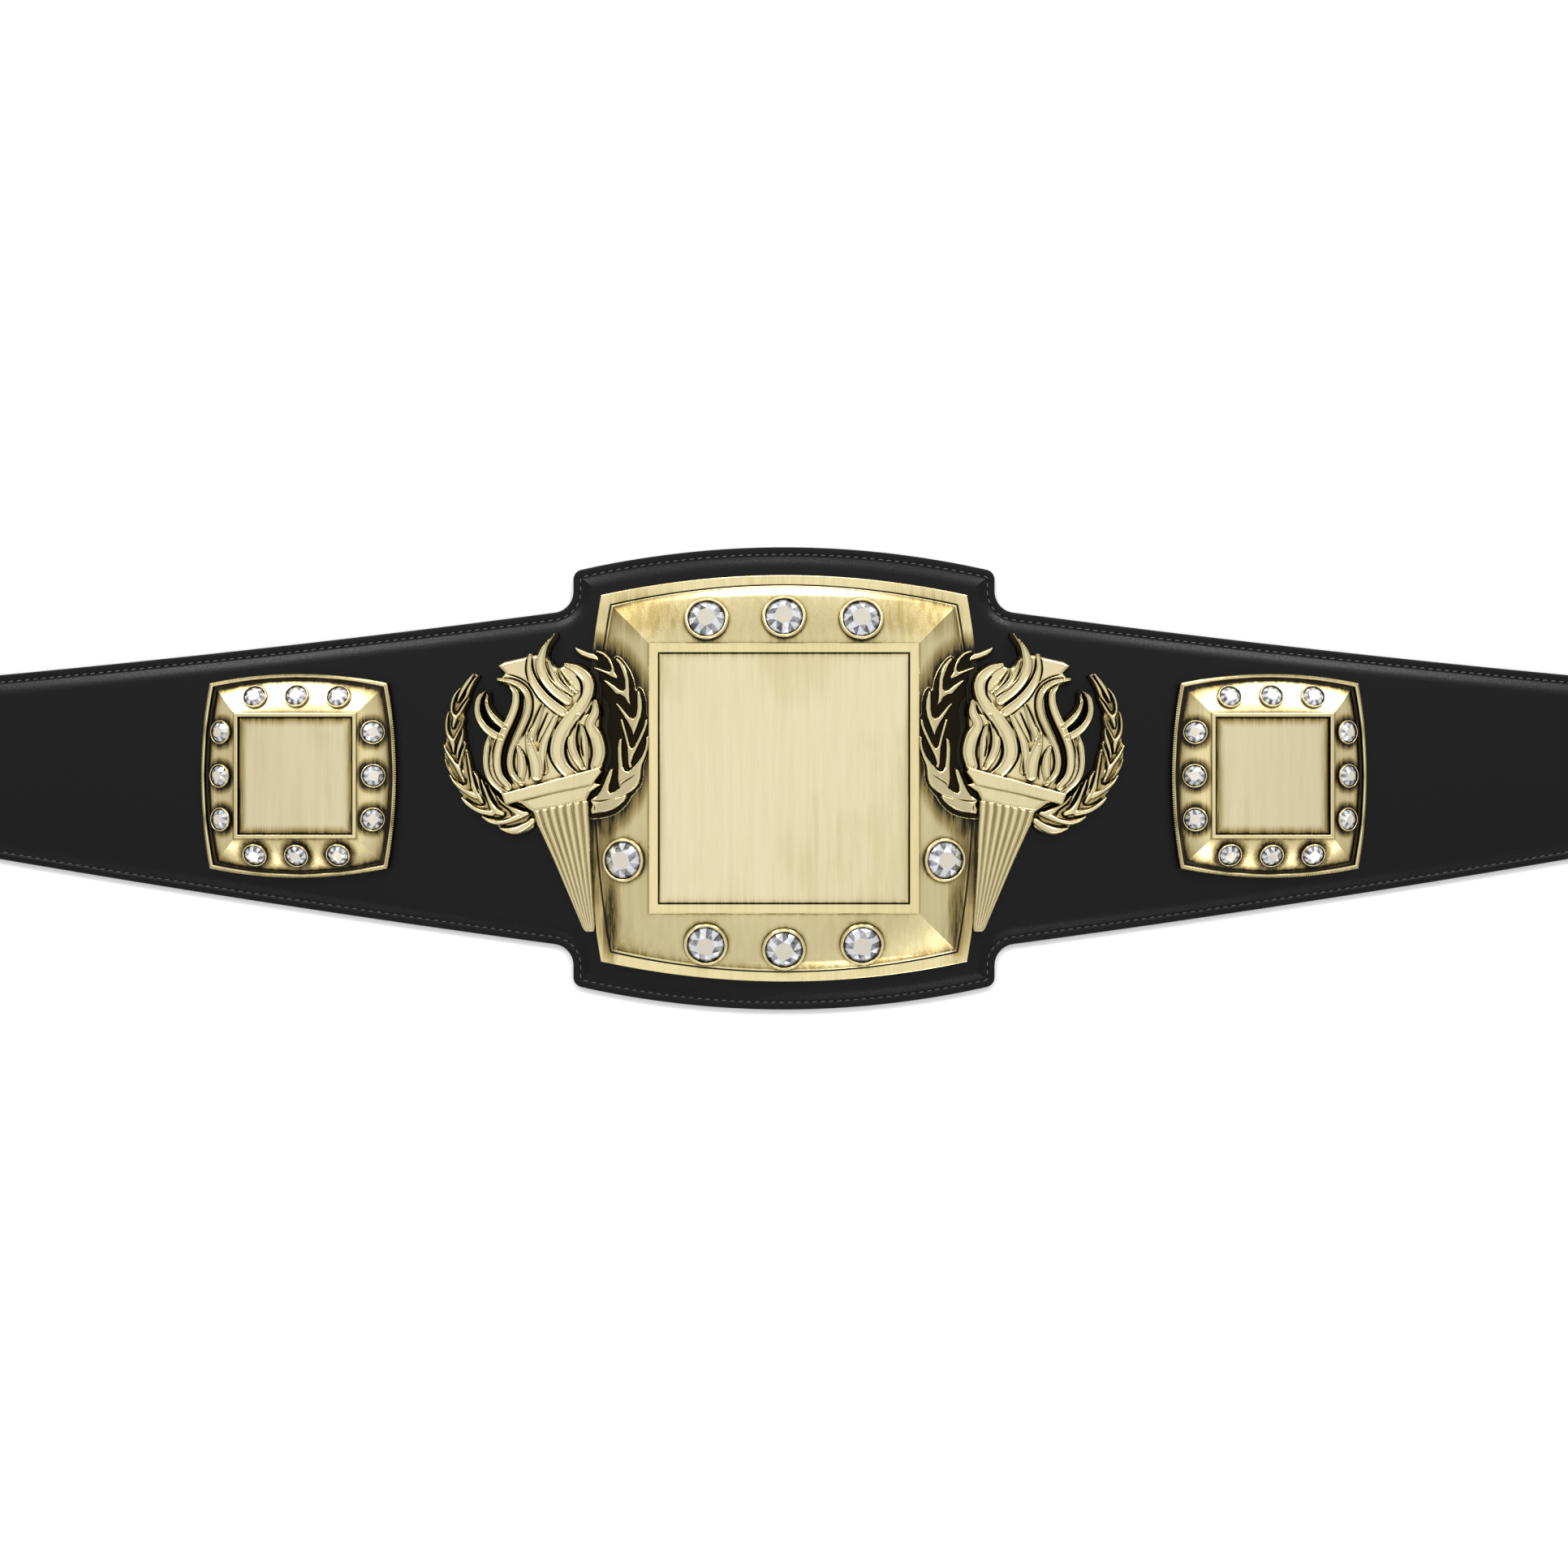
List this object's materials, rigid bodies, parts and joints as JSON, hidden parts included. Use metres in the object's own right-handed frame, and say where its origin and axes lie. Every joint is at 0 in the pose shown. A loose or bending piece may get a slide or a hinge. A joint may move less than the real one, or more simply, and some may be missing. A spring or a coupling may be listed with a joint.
{
  "type": "championship title belt",
  "caption": "Padded black leather title belt laid open, with a large stone-set metal centre plate, square side plates and torch-and-laurel castings.",
  "frame": {"origin": "middle of the belt's outline, on the surface that it lies on", "axes": "+X along the strap, to the right of someone who faces the plates; +Y up the plates; +Z out of the front"},
  "size_m": [1.32, 0.281, 0.021],
  "materials": {
    "strap_leather": "matte black, lightly grained, padded and stitched",
    "plate_gold": "antique gold, brushed upright, dark patina in the corners",
    "panel_gold": "pale antique gold, finely brushed upright",
    "cast_gold": "antique gold casting, polished on its crests, near-black in its hollows",
    "clear_stone": "clear faceted stone with a foiled back",
    "fastener_metal": "black enamelled press fastener"
  },
  "bodies": {
    "root": {"strap": "strap_leather", "centre_plate": "plate_gold", "centre_panel": "panel_gold", "centre_stone_1": "clear_stone", "centre_stone_2": "clear_stone", "centre_stone_3": "clear_stone", "centre_stone_4": "clear_stone", "centre_stone_5": "clear_stone", "centre_stone_6": "clear_stone", "centre_stone_7": "clear_stone", "centre_stone_8": "clear_stone", "side_plate_left": "plate_gold", "side_panel_left": "panel_gold", "side_stone_left_1": "clear_stone", "side_stone_left_2": "clear_stone", "side_stone_left_3": "clear_stone", "side_stone_left_4": "clear_stone", "side_stone_left_5": "clear_stone", "side_stone_left_6": "clear_stone", "side_stone_left_7": "clear_stone", "side_stone_left_8": "clear_stone", "side_stone_left_9": "clear_stone", "side_stone_left_10": "clear_stone", "side_stone_left_11": "clear_stone", "side_stone_left_12": "clear_stone", "torch_wreath_left": "cast_gold", "side_plate_right": "plate_gold", "side_panel_right": "panel_gold", "side_stone_right_1": "clear_stone", "side_stone_right_2": "clear_stone", "side_stone_right_3": "clear_stone", "side_stone_right_4": "clear_stone", "side_stone_right_5": "clear_stone", "side_stone_right_6": "clear_stone", "side_stone_right_7": "clear_stone", "side_stone_right_8": "clear_stone", "side_stone_right_9": "clear_stone", "side_stone_right_10": "clear_stone", "side_stone_right_11": "clear_stone", "side_stone_right_12": "clear_stone", "torch_wreath_right": "cast_gold", "snap_cap_1": "fastener_metal", "snap_cap_2": "fastener_metal", "snap_cap_3": "fastener_metal", "snap_cap_4": "fastener_metal", "snap_stud_1": "fastener_metal", "snap_stud_2": "fastener_metal", "snap_stud_3": "fastener_metal", "snap_stud_4": "fastener_metal"}
  },
  "joints": []
}
